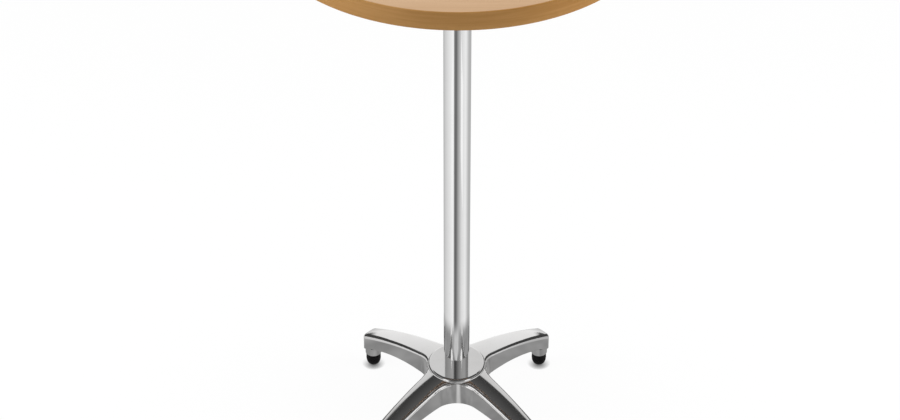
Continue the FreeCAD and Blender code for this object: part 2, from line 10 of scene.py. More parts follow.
import bpy
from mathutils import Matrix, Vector


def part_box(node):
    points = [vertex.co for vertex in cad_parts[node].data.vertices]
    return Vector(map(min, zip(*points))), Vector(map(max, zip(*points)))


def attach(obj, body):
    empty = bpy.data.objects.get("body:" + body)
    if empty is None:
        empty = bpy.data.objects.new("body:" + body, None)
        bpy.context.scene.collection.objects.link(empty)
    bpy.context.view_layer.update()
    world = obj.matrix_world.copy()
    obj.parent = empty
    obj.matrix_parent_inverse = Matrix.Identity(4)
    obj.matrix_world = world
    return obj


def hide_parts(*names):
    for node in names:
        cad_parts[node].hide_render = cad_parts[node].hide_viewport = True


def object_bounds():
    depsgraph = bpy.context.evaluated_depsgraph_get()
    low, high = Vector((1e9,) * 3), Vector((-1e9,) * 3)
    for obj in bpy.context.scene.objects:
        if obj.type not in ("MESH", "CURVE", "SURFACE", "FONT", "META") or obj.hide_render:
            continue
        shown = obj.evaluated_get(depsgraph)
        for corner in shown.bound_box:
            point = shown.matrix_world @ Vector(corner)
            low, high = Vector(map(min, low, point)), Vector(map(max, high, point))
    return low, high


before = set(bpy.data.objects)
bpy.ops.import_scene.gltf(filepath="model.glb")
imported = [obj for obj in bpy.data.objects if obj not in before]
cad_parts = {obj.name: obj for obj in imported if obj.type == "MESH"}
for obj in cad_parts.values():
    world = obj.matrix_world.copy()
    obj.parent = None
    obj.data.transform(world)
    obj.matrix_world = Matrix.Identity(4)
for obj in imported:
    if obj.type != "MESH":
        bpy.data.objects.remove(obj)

LOG = logging.getLogger("pub_table")
CAD_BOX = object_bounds()
ARMS = ("rear_right", "rear_left", "front_left", "front_right")
FIRST_ARM_ANGLE = 45.0

Span = tuple[float, float]
Point = tuple[float, float, float]
Colour = tuple[float, float, float]
Node = bpy.types.Node
Outputs = bpy.types.NodeOutputs
Piece = bpy.types.Object
Socket = bpy.types.NodeSocket


class GrainRun(Enum):
    """Which way the wood decor runs over a piece."""

    STRAIGHT = "straight across the board"
    ROUND_RIM = "round the rim"


class NodeSheet:
    """Lays out and joins the nodes of one material, world or node group."""

    def __init__(self, tree: bpy.types.NodeTree) -> None:
        """Keep the tree that the nodes go into."""
        self.tree = tree

    def node(self, kind: str, *values: object, **settings: object) -> Node:
        """Add a shader node.

        Args:
            kind: Blender's name of its type, after the part that all shader nodes share.
            values: Sockets or plain values for its first inputs, in their order.
            settings: Properties of the node to set, by name.

        Returns:
            The new node.
        """
        made = self.tree.nodes.new("ShaderNode" + kind)
        for name, setting in settings.items():
            setattr(made, name, setting)
        for socket, value in zip(made.inputs, values):
            self.feed(socket, value)
        return made

    def feed(self, socket: Socket, value: object) -> None:
        """Link an input to a socket, or set its own value.

        Args:
            socket: The input socket.
            value: An output socket, or a plain value.
        """
        if isinstance(value, Socket):
            self.tree.links.new(value, socket)
        else:
            socket.default_value = value

    def math(self, operation: str, first: object, second: object = 0.0) -> Socket:
        """Result of a Math node."""
        return self.node("Math", first, second, operation=operation).outputs[0]

    def plus(self, first: object, second: object) -> Socket:
        """Sum of two values."""
        return self.math("ADD", first, second)

    def minus(self, first: object, second: object) -> Socket:
        """Difference of two values."""
        return self.math("SUBTRACT", first, second)

    def times(self, first: object, second: object) -> Socket:
        """Product of two values."""
        return self.math("MULTIPLY", first, second)

    def most(self, first: object, second: object) -> Socket:
        """The larger of two values."""
        return self.math("MAXIMUM", first, second)

    def span(self, value: object, source: Span, target: tuple[object, object] = (0.0, 1.0),
             smooth: bool = True) -> Socket:
        """Map a value from one range to another, held at both ends and eased between if asked."""
        kind = "SMOOTHSTEP" if smooth else "LINEAR"
        return self.node("MapRange", value, *source, *target, interpolation_type=kind).outputs[0]

    def mix(self, share: object, first: object, second: object) -> Socket:
        """Mix two values, with that share of the second one."""
        return self.span(share, (0.0, 1.0), (first, second), smooth=False)

    def blend(self, share: object, first: object, second: object) -> Socket:
        """Mix two colours.

        Args:
            share: How much of the second colour, from 0 to 1.
            first: First colour, a socket or three numbers.
            second: Second colour, a socket or three numbers.

        Returns:
            The mixed colour.
        """
        made = self.node("Mix", share, data_type="RGBA")
        colour_inputs = [socket for socket in made.inputs if socket.type == "RGBA"]
        for socket, colour in zip(colour_inputs, (first, second)):
            self.feed(socket, colour if isinstance(colour, Socket) else (*colour, 1.0))
        return next(socket for socket in made.outputs if socket.type == "RGBA")

    def noise(self, place: Socket, scale: object, detail: float,
              roughness: float = 0.55) -> Socket:
        """Value of a noise texture, whose finer layers have that number and weight."""
        return self.node("TexNoise", place, 0.0, scale, detail, roughness).outputs[0]

    def streaks(self, place: Socket, stretch: Point, detail: float,
                roughness: float = 0.55) -> Socket:
        """Value of a noise texture that has a scale of its own along each axis."""
        return self.noise(self.stretched(place, stretch), 1.0, detail, roughness)

    def stretched(self, place: Socket, stretch: Point) -> Socket:
        """Coordinates multiplied by a factor of their own along each axis."""
        return self.node("VectorMath", place, stretch, operation="MULTIPLY").outputs[0]

    def object_place(self) -> Socket:
        """Coordinates of the piece itself, in metres."""
        return self.node("TexCoord").outputs["Object"]

    def normal(self) -> Outputs:
        """The three parts of the direction that the surface faces."""
        return self.parts(self.node("NewGeometry").outputs["Normal"])

    def parts(self, vector: Socket) -> Outputs:
        """The three parts of a vector or a colour."""
        return self.node("SeparateXYZ", vector).outputs

    def radius(self, parts: Outputs) -> Socket:
        """Distance of a place from the upright axis."""
        squares = [self.math("POWER", part, 2.0) for part in parts[:2]]
        return self.math("SQRT", self.plus(*squares))

    def bearing(self, parts: Outputs) -> Socket:
        """Direction of a place from the upright axis, 0 to the front and positive to the right."""
        return self.math("ARCTAN2", parts[0], self.times(parts[1], -1.0))


class Surface(NodeSheet):
    """The nodes of one material round its Principled BSDF."""

    def __init__(self, material: bpy.types.Material) -> None:
        """Start from the nodes that a new material has.

        Args:
            material: The new material.
        """
        material.use_nodes = True
        super().__init__(material.node_tree)
        self.shader = next(node for node in self.tree.nodes if node.type == "BSDF_PRINCIPLED")

    def put(self, label: str, value: object) -> None:
        """Feed one of the shader's inputs."""
        self.feed(self.shader.inputs[label], value)

    def effect(self, group: bpy.types.NodeTree, place: Socket, **settings: float) -> Outputs:
        """Place a shared effect in this material.

        Args:
            group: The effect's node group.
            place: Coordinates that it follows.
            settings: Values of its other inputs, with underscores for spaces.

        Returns:
            The effect's outputs.
        """
        made = self.node("Group", node_tree=group)
        self.feed(made.inputs["Vector"], place)
        for label, value in settings.items():
            made.inputs[label.replace("_", " ")].default_value = value
        return made.outputs

    def bump(self, height: Socket, depth: float) -> None:
        """Raise a fine relief on the surface.

        Args:
            height: Height from 0 to 1.
            depth: Depth of the relief in metres.
        """
        made = self.node("Bump")
        made.inputs["Distance"].default_value = depth
        self.feed(made.inputs["Height"], height)
        self.put("Normal", made.outputs[0])


class Effects:
    """Surface effects that finishes share, each one node group built once.

    The stretches give how fine a pattern is along X, Y and Z: it is long where the number is small.
    """

    DRIFT: ClassVar[Point] = (1.4, 3.0, 3.0)
    BROAD_STREAKS: ClassVar[Point] = (2.0, 26.0, 26.0)
    FINE_STREAKS: ClassVar[Point] = (9.0, 320.0, 320.0)
    FINE_SHARE: ClassVar[float] = 0.35
    RAY_FLECKS: ClassVar[Point] = (260.0, 1500.0, 1500.0)
    PORES: ClassVar[Point] = (70.0, 2600.0, 2600.0)
    HAZE_SCALE: ClassVar[float] = 9.0
    LEVEL_LINES: ClassVar[Point] = (0.06, 0.06, 1.0)
    CROSSED_LINES: ClassVar[Point] = (1.0, 0.05, 0.08)
    SPECK_SCALE: ClassVar[float] = 420.0

    @staticmethod
    def _group(name: str, settings: dict[str, float], results: tuple[str, ...]
               ) -> tuple[bpy.types.NodeTree, NodeSheet, Outputs, bpy.types.NodeInputs]:
        """Start a node group that follows coordinates.

        Args:
            name: Name of the group.
            settings: Default of each plain value that it takes, by name.
            results: Names of the plain values that it gives.

        Returns:
            The group, its sheet, what it is given and what it gives.
        """
        group = bpy.data.node_groups.new(name, "ShaderNodeTree")
        face = group.interface
        face.new_socket("Vector", in_out="INPUT", socket_type="NodeSocketVector")
        for label, default in settings.items():
            taken = face.new_socket(label, in_out="INPUT", socket_type="NodeSocketFloat")
            taken.default_value = default
        for label in results:
            face.new_socket(label, in_out="OUTPUT", socket_type="NodeSocketFloat")
        given, result = group.nodes.new("NodeGroupInput"), group.nodes.new("NodeGroupOutput")
        return group, NodeSheet(group), given.outputs, result.inputs

    @staticmethod
    @lru_cache(maxsize=None)
    def wood_grain() -> bpy.types.NodeTree:
        """Long soft streaks and short ray flecks of beech, running along the input's X axis.

        Returns:
            The node group.
        """
        group, sheet, given, result = Effects._group(
            "wood_grain", {"Wander": 0.02}, ("Streak", "Fleck", "Pore"))
        place = given["Vector"]
        drift = sheet.minus(sheet.streaks(place, Effects.DRIFT, 2.0), 0.5)
        offset = sheet.node("CombineXYZ", 0.0, sheet.times(drift, given["Wander"])).outputs[0]
        bent = sheet.node("VectorMath", place, offset, operation="ADD").outputs[0]
        broad = sheet.streaks(bent, Effects.BROAD_STREAKS, 4.0, 0.6)
        fine = sheet.streaks(bent, Effects.FINE_STREAKS, 3.0, 0.6)
        streak = sheet.mix(Effects.FINE_SHARE, broad, fine)
        fleck = sheet.streaks(bent, Effects.RAY_FLECKS, 1.0)
        pore = sheet.streaks(bent, Effects.PORES, 1.0)
        sheet.feed(result["Streak"], sheet.span(streak, (0.32, 0.68)))
        sheet.feed(result["Fleck"], sheet.span(fleck, (0.62, 0.74)))
        sheet.feed(result["Pore"], sheet.span(pore, (0.55, 0.75)))
        return group

    @staticmethod
    @lru_cache(maxsize=None)
    def hand_polish() -> bpy.types.NodeTree:
        """Slow waves left by the buffing wheel, hazy patches and hairline scratches.

        Returns:
            The node group.
        """
        group, sheet, given, result = Effects._group(
            "hand_polish", {"Wave Scale": 22.0, "Hairline Scale": 900.0},
            ("Wave", "Haze", "Hairline"))
        place = given["Vector"]
        sheet.feed(result["Wave"], sheet.noise(place, given["Wave Scale"], 1.0, 0.4))
        haze = sheet.noise(place, Effects.HAZE_SCALE, 5.0, 0.65)
        sheet.feed(result["Haze"], sheet.span(haze, (0.38, 0.72)))
        level, crossed = (sheet.noise(sheet.stretched(place, stretch), given["Hairline Scale"], 2.0)
                          for stretch in (Effects.LEVEL_LINES, Effects.CROSSED_LINES))
        lines = sheet.most(sheet.span(level, (0.60, 0.78)), sheet.span(crossed, (0.64, 0.80)))
        sheet.feed(result["Hairline"], lines)
        return group

    @staticmethod
    @lru_cache(maxsize=None)
    def mottle() -> bpy.types.NodeTree:
        """Fine grain over slow patches, for castings, plating, rubber and sheets.

        Returns:
            The node group.
        """
        group, sheet, given, result = Effects._group(
            "mottle", {"Patch Scale": 14.0, "Grain Scale": 700.0}, ("Patch", "Grain"))
        place = given["Vector"]
        patch = sheet.noise(place, given["Patch Scale"], 4.0, 0.6)
        sheet.feed(result["Patch"], sheet.span(patch, (0.34, 0.68)))
        sheet.feed(result["Grain"], sheet.noise(place, given["Grain Scale"], 2.0, 0.6))
        return group

    @staticmethod
    @lru_cache(maxsize=None)
    def settled_dust() -> bpy.types.NodeTree:
        """Thin dust that lies on faces that look up.

        Returns:
            The node group.
        """
        group, sheet, given, result = Effects._group("settled_dust", {}, ("Dust",))
        upward = sheet.span(sheet.normal()[2], (0.25, 0.95))
        specks = sheet.noise(given["Vector"], Effects.SPECK_SCALE, 3.0, 0.7)
        sheet.feed(result["Dust"], sheet.times(upward, sheet.span(specks, (0.45, 0.75))))
        return group


@dataclass(frozen=True)
class Finish:
    """Look of one kind of surface.

    Attributes:
        slot: Name of its material.
    """

    slot: str

    @lru_cache(maxsize=None)
    def material(self) -> bpy.types.Material:
        """The finish as a material, made at the first call.

        Returns:
            The material.
        """
        made = bpy.data.materials.new(self.slot)
        self.paint(Surface(made))
        return made

    def paint(self, sheet: Surface) -> None:
        """Fill in the shader of this finish."""
        raise NotImplementedError

    def dress(self, piece: Piece) -> None:
        """Give a piece this finish."""
        piece.data.materials.clear()
        piece.data.materials.append(self.material())


@dataclass(frozen=True)
class WoodDecor(Finish):
    """Wood-look sheet or strip.

    Attributes:
        pale: Colour between the streaks.
        deep: Colour of the streaks.
        fleck: Colour of the ray flecks.
        run: Which way the grain runs.
        roughness: Roughness of the lacquer.
        rim_radius: Radius where the glue line at the rim starts to show, or 0 for none.
    """

    FLECK_SHARE: ClassVar[float] = 0.35
    CLOUD_SHARE: ClassVar[float] = 0.10
    GLUE_WIDTH: ClassVar[float] = 0.0006
    GLUE_SHARE: ClassVar[float] = 0.6
    STREAK_ROUGHNESS: ClassVar[float] = 0.06
    CLOUD_ROUGHNESS: ClassVar[float] = 0.05
    SPECULAR: ClassVar[float] = 0.22
    SKIN_SHARE: ClassVar[float] = 0.4
    RELIEF_DEPTH: ClassVar[float] = 0.00003

    pale: Colour
    deep: Colour
    fleck: Colour
    run: GrainRun
    roughness: float
    rim_radius: float = 0.0

    def grain_place(self, sheet: Surface) -> Socket:
        """Coordinates whose X axis lies along the grain.

        Args:
            sheet: The material's nodes.

        Returns:
            The coordinates.
        """
        place = sheet.object_place()
        if self.run is GrainRun.STRAIGHT:
            return place
        parts = sheet.parts(place)
        along = sheet.times(sheet.bearing(parts), CAD_BOX[1].x)
        return sheet.node("CombineXYZ", along, parts[2]).outputs[0]

    def paint(self, sheet: Surface) -> None:
        """Streaked, flecked decor under a satin lacquer.

        Args:
            sheet: The material's nodes.
        """
        grain = sheet.effect(Effects.wood_grain(), self.grain_place(sheet))
        cloud = sheet.effect(Effects.mottle(), sheet.object_place(),
                             Patch_Scale=5.0, Grain_Scale=900.0)
        tone = sheet.blend(grain["Streak"], self.deep, self.pale)
        tone = sheet.blend(sheet.times(grain["Fleck"], self.FLECK_SHARE), tone, self.fleck)
        tone = sheet.blend(sheet.times(cloud["Patch"], self.CLOUD_SHARE), tone, self.deep)
        if self.rim_radius:
            radius = sheet.radius(sheet.parts(sheet.object_place()))
            line = (self.rim_radius - self.GLUE_WIDTH, self.rim_radius)
            tone = sheet.blend(sheet.span(radius, line, (0.0, self.GLUE_SHARE)), tone, self.deep)
        sheet.put("Base Color", tone)
        rough = sheet.plus(self.roughness, sheet.times(grain["Streak"], self.STREAK_ROUGHNESS))
        rough = sheet.plus(rough, sheet.times(cloud["Patch"], self.CLOUD_ROUGHNESS))
        sheet.put("Roughness", rough)
        sheet.put("Specular IOR Level", self.SPECULAR)
        relief = sheet.plus(grain["Pore"], sheet.times(cloud["Grain"], self.SKIN_SHARE))
        sheet.bump(relief, self.RELIEF_DEPTH)


@dataclass(frozen=True)
class BareMetal(Finish):
    """Polished, drawn, cast or plated metal.

    Attributes:
        tint: Colour of the clean metal.
        dull: Colour where it is hazy.
        roughness: Roughness where it is brightest.
        haze: How much rougher the hazy patches are.
        wave_depth: Depth of the waves in the surface, in metres.
        grain_depth: Depth of the cast or plated grain, in metres.
    """

    HAIRLINE_SHARE: ClassVar[float] = 0.3

    tint: Colour
    dull: Colour
    roughness: float
    haze: float
    wave_depth: float
    grain_depth: float = 0.0

    def look(self, sheet: Surface, polish: Outputs, cast: Outputs) -> tuple[Socket, Socket, Socket]:
        """What the polishing and the mould have made of the surface.

        Args:
            sheet: The material's nodes.
            polish: Marks of the polishing.
            cast: Marks of the mould.

        Returns:
            The colour, the roughness and the height of the grain.
        """
        worn = sheet.mix(self.HAIRLINE_SHARE, polish["Haze"], polish["Hairline"])
        rough = sheet.plus(self.roughness, sheet.times(worn, self.haze))
        return sheet.blend(polish["Haze"], self.tint, self.dull), rough, cast["Grain"]

    def paint(self, sheet: Surface) -> None:
        """Metal with buffing waves, haze, hairlines and a little grain.

        Args:
            sheet: The material's nodes.
        """
        place = sheet.object_place()
        polish = sheet.effect(Effects.hand_polish(), place)
        cast = sheet.effect(Effects.mottle(), place, Patch_Scale=30.0, Grain_Scale=1100.0)
        tone, rough, grain = self.look(sheet, polish, cast)
        sheet.put("Base Color", tone)
        sheet.put("Metallic", 1.0)
        sheet.put("Roughness", rough)
        grain = sheet.times(grain, self.grain_depth / self.wave_depth)
        sheet.bump(sheet.plus(polish["Wave"], grain), self.wave_depth)


@dataclass(frozen=True)
class HollowCasting(BareMetal):
    """Star casting, polished outside and left as cast in the hollows underneath, where the dull
    dark skin is also painted shade.

    Attributes:
        raw_skin_and_shade: Colour of the skin left by the mould, darkened further as painted shade
            in the hollows.
        raw_shade: How much darker its patches are, as a factor.
        raw_roughness: Roughness of that skin.
        axis_half_width: Half width of an arm, carried back to the column's axis.
        taper: What the half width loses in each metre outwards.
        wall: How far inside the arm's sides the hollows start.
        hollow_end: How far out they go.
        hollow_top: Height above which everything is polished.
        roof_facing: Upward part of the normal above which a face isn't in a hollow.
        under_facing: Upward part of the normal over which the polish fades out into the dark skin
            and painted shade on the underside.
    """

    raw_skin_and_shade: Colour = (0.42, 0.42, 0.43)
    raw_shade: float = 0.7
    raw_roughness: float = 0.5
    axis_half_width: float = 0.0259
    taper: float = 0.0424
    wall: float = 0.0025
    hollow_end: float = 0.198
    hollow_top: float = 0.118
    roof_facing: float = 0.5
    under_facing: Span = (-0.35, -0.65)

    def raw_and_shaded(self, sheet: Surface) -> Socket:
        """Mask of the underside and of the walls in its hollows, where the skin is left as cast and
        shade is painted.

        Args:
            sheet: The material's nodes.

        Returns:
            The mask, 1 where the metal is left as cast.
        """
        parts, facing = sheet.parts(sheet.object_place()), sheet.normal()
        right, back = (sheet.math("ABSOLUTE", part) for part in parts[:2])
        outward = sheet.times(sheet.plus(right, back), math.sqrt(0.5))
        across = sheet.times(sheet.math("ABSOLUTE", sheet.minus(right, back)), math.sqrt(0.5))
        inner_half = sheet.minus(self.axis_half_width - self.wall, sheet.times(outward, self.taper))
        inside = sheet.math("LESS_THAN", across, inner_half)
        for value, limit in ((outward, self.hollow_end), (parts[2], self.hollow_top),
                             (facing[2], self.roof_facing)):
            inside = sheet.times(inside, sheet.math("LESS_THAN", value, limit))
        return sheet.most(inside, sheet.span(facing[2], self.under_facing))

    def look(self, sheet: Surface, polish: Outputs, cast: Outputs) -> tuple[Socket, Socket, Socket]:
        """Bright buffed metal outside, dull grainy skin darkened with painted shade in the hollows.

        Args:
            sheet: The material's nodes.
            polish: Marks of the polishing.
            cast: Marks of the mould.

        Returns:
            The colour, the roughness and the height of the grain.
        """
        bright, rough, grain = super().look(sheet, polish, cast)
        # Mask of the as-cast skin, whose dark tone is also painted shade in the hollows and
        # underneath.
        skin = self.raw_and_shaded(sheet)
        shaded = tuple(self.raw_shade * part for part in self.raw_skin_and_shade)
        dark = sheet.blend(cast["Patch"], self.raw_skin_and_shade, shaded)
        rougher = sheet.most(rough, sheet.times(skin, self.raw_roughness))
        return sheet.blend(skin, bright, dark), rougher, sheet.times(grain, skin)


@dataclass(frozen=True)
class MouldedRubber(Finish):
    """Black rubber with a fine moulded skin and a trace of dust.

    Attributes:
        black: Colour of the clean rubber.
        dust: Colour of the dust.
        roughness: Roughness of the clean skin.
    """

    DUST_SHARE: ClassVar[float] = 0.5
    PATCH_ROUGHNESS: ClassVar[float] = 0.18
    SPECULAR: ClassVar[float] = 0.15
    RELIEF_DEPTH: ClassVar[float] = 0.00006

    black: Colour
    dust: Colour
    roughness: float

    def paint(self, sheet: Surface) -> None:
        """Black skin, slightly mottled and dusty.

        Args:
            sheet: The material's nodes.
        """
        place = sheet.object_place()
        skin = sheet.effect(Effects.mottle(), place, Patch_Scale=120.0, Grain_Scale=2600.0)
        dust = sheet.times(sheet.effect(Effects.settled_dust(), place)["Dust"], self.DUST_SHARE)
        sheet.put("Base Color", sheet.blend(dust, self.black, self.dust))
        rough = sheet.plus(self.roughness, sheet.times(skin["Patch"], self.PATCH_ROUGHNESS))
        sheet.put("Roughness", rough)
        sheet.put("Specular IOR Level", self.SPECULAR)
        sheet.bump(skin["Grain"], self.RELIEF_DEPTH)


@dataclass(frozen=True)
class PressedChips(Finish):
    """Raw chipboard.

    Attributes:
        pale: Colour of the lightest chips.
        deep: Colour of the darkest chips.
    """

    CHIP_STRETCH: ClassVar[Point] = (1.0, 1.0, 3.0)
    CHIP_SCALE: ClassVar[float] = 420.0
    ROUGHNESS: ClassVar[Span] = (0.75, 0.95)
    RELIEF_DEPTH: ClassVar[float] = 0.0002

    pale: Colour
    deep: Colour

    def paint(self, sheet: Surface) -> None:
        """Chips of several shades, pressed flat.

        Args:
            sheet: The material's nodes.
        """
        place = sheet.object_place()
        flat = sheet.stretched(place, self.CHIP_STRETCH)
        chips = sheet.node("TexVoronoi", flat, 0.0, self.CHIP_SCALE)
        shade = sheet.parts(chips.outputs["Color"])[0]
        grit = sheet.effect(Effects.mottle(), place)
        sheet.put("Base Color", sheet.blend(shade, self.pale, self.deep))
        sheet.put("Roughness", sheet.span(grit["Grain"], (0.3, 0.7), self.ROUGHNESS))
        sheet.bump(chips.outputs["Distance"], self.RELIEF_DEPTH)


class Finishes:
    """The finishes of this table."""

    BEECH_FACE = WoodDecor("beech_face", pale=(0.620, 0.415, 0.252), deep=(0.545, 0.345, 0.195),
                           fleck=(0.43, 0.25, 0.13), run=GrainRun.STRAIGHT, roughness=0.42,
                           rim_radius=0.298)
    BEECH_EDGE = WoodDecor("beech_edge", pale=(0.50, 0.265, 0.085), deep=(0.385, 0.185, 0.045),
                           fleck=(0.27, 0.12, 0.04), run=GrainRun.ROUND_RIM, roughness=0.45)
    # Very dark, so that the underside of the top shows dark, also in the polished metal.
    BACKING = WoodDecor("backing_sheet", pale=(0.115, 0.082, 0.060), deep=(0.090, 0.062, 0.045),
                        fleck=(0.07, 0.048, 0.034), run=GrainRun.STRAIGHT, roughness=0.6)
    CHIPBOARD = PressedChips("chipboard", pale=(0.58, 0.42, 0.24), deep=(0.36, 0.23, 0.11))
    POLISHED = HollowCasting("polished_aluminium", tint=(0.88, 0.875, 0.87),
                             dull=(0.82, 0.81, 0.80), roughness=0.055, haze=0.06,
                             wave_depth=0.00008, grain_depth=0.00014)
    TUBE = BareMetal("bright_tube", tint=(0.89, 0.89, 0.89), dull=(0.86, 0.86, 0.86),
                     roughness=0.05, haze=0.04, wave_depth=0.00001)
    CAST = BareMetal("cast_aluminium", tint=(0.56, 0.565, 0.57), dull=(0.45, 0.45, 0.46),
                     roughness=0.38, haze=0.2, wave_depth=0.0001, grain_depth=0.00012)
    ZINC = BareMetal("zinc_steel", tint=(0.68, 0.69, 0.70), dull=(0.56, 0.57, 0.60),
                     roughness=0.24, haze=0.16, wave_depth=0.00003, grain_depth=0.00002)
    RUBBER = MouldedRubber("black_rubber", black=(0.006, 0.0055, 0.006), dust=(0.06, 0.057, 0.054),
                           roughness=0.38)


class Workbench:
    """Modelling steps that several pieces share, each done with Blender's own tools."""

    MERGE_DISTANCE: ClassVar[float] = 1e-6
    THREAD_STEPS: ClassVar[int] = 20
    CREST_SHARE: ClassVar[float] = 0.06
    ROOT_SHARE: ClassVar[float] = 0.02

    @staticmethod
    def clear_hands() -> None:
        """Leave edit mode and let go of everything that is selected."""
        if bpy.context.object is not None and bpy.context.object.mode != "OBJECT":
            bpy.ops.object.mode_set(mode="OBJECT")
        bpy.ops.object.select_all(action="DESELECT")

    @staticmethod
    def take(*pieces: Piece) -> None:
        """Select these pieces alone and make the first one active.

        Args:
            pieces: The pieces to take.
        """
        Workbench.clear_hands()
        for piece in pieces:
            piece.select_set(True)
        bpy.context.view_layer.objects.active = pieces[0]

    @staticmethod
    def start(name: str, primitive: Callable, **settings: object) -> Piece:
        """Start a piece from one of Blender's primitives.

        Args:
            name: Name of the new piece.
            primitive: The operator that adds it.
            settings: The operator's settings.

        Returns:
            The new piece.
        """
        Workbench.clear_hands()
        primitive(**settings)
        piece = bpy.context.object
        piece.name = name
        return piece

    @staticmethod
    def draw(name: str, points: list[Vector]) -> Piece:
        """Draw a chain of edges, from a plane pulled together into its first point.

        Args:
            name: Name of the new piece.
            points: The points of the chain.

        Returns:
            The piece, in edit mode with all of it selected.
        """
        piece = Workbench.start(name, bpy.ops.mesh.primitive_plane_add, size=0.001)
        bpy.ops.object.mode_set(mode="EDIT")
        bpy.ops.mesh.merge(type="CENTER")
        bpy.ops.transform.translate(value=points[0])
        for before, after in zip(points, points[1:]):
            bpy.ops.mesh.extrude_vertices_move(TRANSFORM_OT_translate={"value": after - before})
        bpy.ops.mesh.select_all(action="SELECT")
        return piece

    @staticmethod
    def close_up() -> None:
        """Merge the doubles of the shape in edit mode, turn its faces outwards, leave that mode."""
        bpy.ops.mesh.select_all(action="SELECT")
        bpy.ops.mesh.remove_doubles(threshold=Workbench.MERGE_DISTANCE)
        bpy.ops.mesh.normals_make_consistent(inside=False)
        bpy.ops.object.mode_set(mode="OBJECT")

    @staticmethod
    def turn(name: str, profile: list[Span], steps: int) -> Piece:
        """Turn a profile about the upright axis through the origin.

        Args:
            name: Name of the new piece.
            profile: Radius and height of each point, starting and ending on the axis.
            steps: How many steps the turn has.

        Returns:
            The turned piece.
        """
        piece = Workbench.draw(name, [Vector((radius, 0.0, height)) for radius, height in profile])
        bpy.ops.mesh.spin(steps=steps, angle=math.tau, center=(0.0, 0.0, 0.0), axis=(0.0, 0.0, 1.0))
        Workbench.close_up()
        return piece

    @staticmethod
    def thread(name: str, root: float, crest: float, pitch: float, bottom: float,
               turns: int) -> Piece:
        """Wind the ridge of a screw thread about the upright axis through the origin.

        Args:
            name: Name of the new piece.
            root: Radius at the foot of the ridge.
            crest: Radius at its top.
            pitch: Rise in one turn.
            bottom: Height where it starts.
            turns: How many turns it has.

        Returns:
            The ridge, closed at both ends.
        """
        flat, gap = Workbench.CREST_SHARE * pitch, Workbench.ROOT_SHARE * pitch
        corners = [(root, gap), (crest, pitch / 2 - flat),
                   (crest, pitch / 2 + flat), (root, pitch - gap)]
        outline = [Vector((radius, 0.0, bottom + rise)) for radius, rise in corners]
        piece = Workbench.draw(name, outline)
        bpy.ops.mesh.edge_face_add()
        bpy.ops.object.mode_set(mode="OBJECT")
        winding = piece.modifiers.new("winding", "SCREW")
        winding.axis = "Z"
        winding.screw_offset = pitch
        winding.iterations = turns
        winding.steps = winding.render_steps = Workbench.THREAD_STEPS
        winding.use_merge_vertices = False
        bpy.ops.object.modifier_apply(modifier=winding.name)
        bpy.ops.object.mode_set(mode="EDIT")
        bpy.ops.mesh.select_all(action="SELECT")
        bpy.ops.mesh.fill_holes(sides=len(corners))
        Workbench.close_up()
        return piece

    @staticmethod
    def join(*pieces: Piece) -> Piece:
        """Join pieces into the first one.

        Args:
            pieces: The pieces to join.

        Returns:
            The joined piece.
        """
        Workbench.take(*pieces)
        bpy.ops.object.join()
        return bpy.context.object

    @staticmethod
    def smooth(piece: Piece, angle: float = 34.0) -> None:
        """Shade a piece smooth, except over edges that turn by more than an angle in degrees."""
        Workbench.take(piece)
        bpy.ops.object.shade_smooth_by_angle(angle=math.radians(angle))

    @staticmethod
    def copy_to(pattern: Piece, name: str, place: Vector, angle: float) -> Piece:
        """Copy a piece, with its own mesh, and settle it elsewhere with its place in that mesh.

        Args:
            pattern: The piece to copy.
            name: Name of the copy.
            place: Where the pattern's origin goes.
            angle: How far the copy is turned about the upright axis, in radians.

        Returns:
            The copy.
        """
        Workbench.take(pattern)
        bpy.ops.object.duplicate(linked=False)
        copy = bpy.context.object
        copy.name = name
        copy.location = place
        copy.rotation_euler = (0.0, 0.0, angle)
        bpy.ops.object.transform_apply(location=True, rotation=True, scale=True)
        return copy

    @staticmethod
    def put_away(pattern: Piece) -> None:
        """Remove a pattern or a cutter once it has served."""
        Workbench.take(pattern)
        bpy.ops.object.delete()


class SubAssembly:
    """What the sub-assemblies of the table share."""

    def build(self) -> list[Piece]:
        """Model and dress the pieces, and give them back."""
        raise NotImplementedError

    def dress_node(self, name: str, finish: Finish) -> Piece:
        """Give a node of the model its finish.

        Args:
            name: Name of the node.
            finish: Its finish.

        Returns:
            The node's object.
        """
        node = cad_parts[name]
        finish.dress(node)
        return node

    def stand_for(self, piece: Piece, node: str, body: str, finish: Finish) -> Piece:
        """Let a new piece stand for a node: it rides on the node's body and gets its finish.

        Args:
            piece: The new piece.
            node: The node that it replaces.
            body: The body that it moves with.
            finish: Its finish.

        Returns:
            The piece.
        """
        finish.dress(piece)
        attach(piece, body)
        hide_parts(node)
        return piece


@dataclass
class TableTop(SubAssembly):
    """Round top: board, decor sheet, balancing sheet and edge strip."""

    def build(self) -> list[Piece]:
        """Dress the layers of the top.

        Returns:
            The finished pieces.
        """
        return [self.dress_node("top_core", Finishes.CHIPBOARD),
                self.dress_node("top_laminate", Finishes.BEECH_FACE),
                self.dress_node("underside_laminate", Finishes.BACKING),
                self.dress_node("edge_band", Finishes.BEECH_EDGE)]


